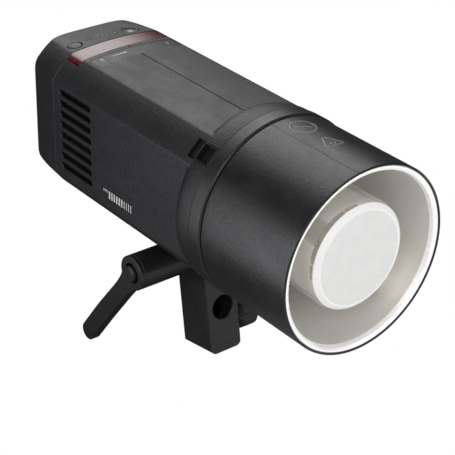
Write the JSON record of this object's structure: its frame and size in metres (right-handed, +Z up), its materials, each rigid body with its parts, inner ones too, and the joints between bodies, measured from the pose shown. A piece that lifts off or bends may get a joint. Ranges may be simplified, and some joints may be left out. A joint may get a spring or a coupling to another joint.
{
  "type": "monolight strobe",
  "caption": "Battery studio flash head with bell reflector, frosted glass dome, slide-out battery and a tilting stand bracket with clamping lever.",
  "frame": {"origin": "point on the stand bracket's flat bottom face, on the centre plane, in front of the stand socket's mouth, at rest", "axes": "-Y is the way the light faces, +Z is up with the head level, X runs along the tilt axis; the bracket leans 9.15 degrees forward of vertical at rest"},
  "size_m": [0.1246, 0.2906, 0.2063],
  "materials": {
    "case_plastic": "fine spark-eroded texture, charcoal black",
    "panel_plastic": "satin black panel",
    "key_plastic": "smooth dark grey keys",
    "tube_coat": "spun aluminium with a fine matt black powder coat",
    "ring_coat": "die-cast aluminium with a fine satin black powder coat",
    "reflector_silver": "satin anodised",
    "steel": "turned and zinc plated",
    "chrome": "bright plated",
    "brass": "turned",
    "frosted_glass": "frosted borosilicate",
    "quartz": "clear quartz",
    "ceramic": "unglazed white",
    "red_window": "clear red acrylic",
    "screen": "gloss cover lens",
    "rubber": "moulded black",
    "circuit_board": "green solder mask",
    "capacitor_sleeve": "shrink sleeve",
    "light_guide": "translucent white"
  },
  "bodies": {
    "head": {"housing_left": "case_plastic", "housing_right": "case_plastic", "front_ring": "ring_coat", "rear_cover": "case_plastic", "status_window": "red_window", "sensor_strip": "panel_plastic", "control_panel": "panel_plastic", "display_window": "screen", "display_module": "light_guide", "control_board": "circuit_board", "battery_led_guide": "light_guide", "sync_jack": "steel", "usb_socket": "steel", "glass_dome": "frosted_glass", "flash_tube": "quartz", "modelling_lamp": "ceramic", "tube_base": "ceramic", "lamp_bulkhead": "steel", "chassis_tray": "steel", "capacitor_upper": "capacitor_sleeve", "capacitor_lower": "capacitor_sleeve", "power_board": "circuit_board", "transformer": "panel_plastic", "heat_sink": "steel", "fan_frame": "panel_plastic", "battery_bay": "panel_plastic", "bay_contacts": "brass", "foot_plate": "ring_coat", "foot_screw_1": "steel", "foot_screw_2": "steel", "foot_screw_3": "steel", "foot_screw_4": "steel"},
    "bracket": {"stand_bracket": "ring_coat", "friction_disc_left": "rubber", "friction_disc_right": "rubber", "clamp_bolt": "steel", "thrust_bush": "brass"},
    "slider": {"release_slider": "case_plastic", "lock_pin": "steel"},
    "reflector": {"reflector_tube": "tube_coat", "reflector_cone": "reflector_silver", "bayonet_collar": "steel"},
    "battery": {"battery_pack": "case_plastic"},
    "lock_button": {"battery_lock_button": "key_plastic"},
    "check_button": {"battery_check_button": "key_plastic"},
    "dial": {"set_dial": "key_plastic"},
    "dial_key": {"set_button": "key_plastic"},
    "mode_key": {"mode_button": "key_plastic"},
    "group_key": {"group_button": "key_plastic"},
    "lamp_key": {"lamp_button": "key_plastic"},
    "test_key": {"test_button": "key_plastic"},
    "flap": {"port_cover": "rubber"},
    "fan": {"fan_rotor": "key_plastic"},
    "lever_nut": {"lever_insert": "steel", "lever_button": "ring_coat"},
    "lever": {"lever_handle": "ring_coat"},
    "shoe": {"lock_shoe": "brass"},
    "knob": {"lock_knob": "rubber", "lock_screw": "chrome"}
  },
  "joints": [
    {"name": "head_tilt", "type": "hinge", "parent": "bracket", "child": "head", "pos_m": [0, 0.02478, 0.06833], "axis": [1, 0, 0], "range_deg": [-75, 60]},
    {"name": "lever_turn", "type": "hinge", "parent": "bracket", "child": "lever_nut", "pos_m": [0, 0.02478, 0.06833], "axis": [1, 0, 0], "range_deg": [-55, 55]},
    {"name": "lever_lift", "type": "slide", "parent": "lever_nut", "child": "lever", "axis": [-1, 0, 0], "range_m": [0, 0.005], "stiffness_N_per_m": 300, "springref_m": -0.001},
    {"name": "lock_feed", "type": "slide", "parent": "bracket", "child": "shoe", "axis": [-1, 0, 0], "range_m": [0, 0.0025]},
    {"name": "lock_turn", "type": "hinge", "parent": "shoe", "child": "knob", "pos_m": [0.02, 0.01423, 0.01381], "axis": [-1, 0, 0], "range_deg": [0, 720]},
    {"name": "release_slide", "type": "slide", "parent": "head", "child": "slider", "axis": [0, 1, 0], "range_m": [0, 0.006], "stiffness_N_per_m": 200, "springref_m": -0.001},
    {"name": "reflector_turn", "type": "hinge", "parent": "head", "child": "reflector", "pos_m": [0, -0.09022, 0.13183], "axis": [0, -1, 0], "range_deg": [0, 20]},
    {"name": "battery_slide", "type": "slide", "parent": "head", "child": "battery", "axis": [1, 0, 0], "range_m": [0, 0.045]},
    {"name": "battery_lock_press", "type": "slide", "parent": "head", "child": "lock_button", "axis": [0, 0, -1], "range_m": [0, 0.0015], "stiffness_N_per_m": 400, "springref_m": -0.0005},
    {"name": "battery_check_press", "type": "slide", "parent": "head", "child": "check_button", "axis": [0, 0, -1], "range_m": [0, 0.001], "stiffness_N_per_m": 400, "springref_m": -0.0005},
    {"name": "dial_turn", "type": "hinge", "parent": "head", "child": "dial", "pos_m": [0, 0.15778, 0.11183], "axis": [0, -1, 0], "continuous": true},
    {"name": "set_press", "type": "slide", "parent": "dial", "child": "dial_key", "axis": [0, -1, 0], "range_m": [0, 0.0008], "stiffness_N_per_m": 400, "springref_m": -0.0003},
    {"name": "mode_press", "type": "slide", "parent": "head", "child": "mode_key", "axis": [0, -1, 0], "range_m": [0, 0.0008], "stiffness_N_per_m": 400, "springref_m": -0.0003},
    {"name": "group_press", "type": "slide", "parent": "head", "child": "group_key", "axis": [0, -1, 0], "range_m": [0, 0.0008], "stiffness_N_per_m": 400, "springref_m": -0.0003},
    {"name": "lamp_press", "type": "slide", "parent": "head", "child": "lamp_key", "axis": [0, -1, 0], "range_m": [0, 0.0008], "stiffness_N_per_m": 400, "springref_m": -0.0003},
    {"name": "test_press", "type": "slide", "parent": "head", "child": "test_key", "axis": [0, -1, 0], "range_m": [0, 0.0008], "stiffness_N_per_m": 400, "springref_m": -0.0003},
    {"name": "port_flap", "type": "hinge", "parent": "head", "child": "flap", "pos_m": [0, 0.15868, 0.08523], "axis": [-1, 0, 0], "range_deg": [0, 100]},
    {"name": "fan_spin", "type": "hinge", "parent": "head", "child": "fan", "pos_m": [-0.0417, 0.09978, 0.13423], "axis": [1, 0, 0], "continuous": true}
  ],
  "couplings": [
    {"joint": "lock_feed", "follows": "lock_turn", "m_per_rad": 0.0001989}
  ]
}
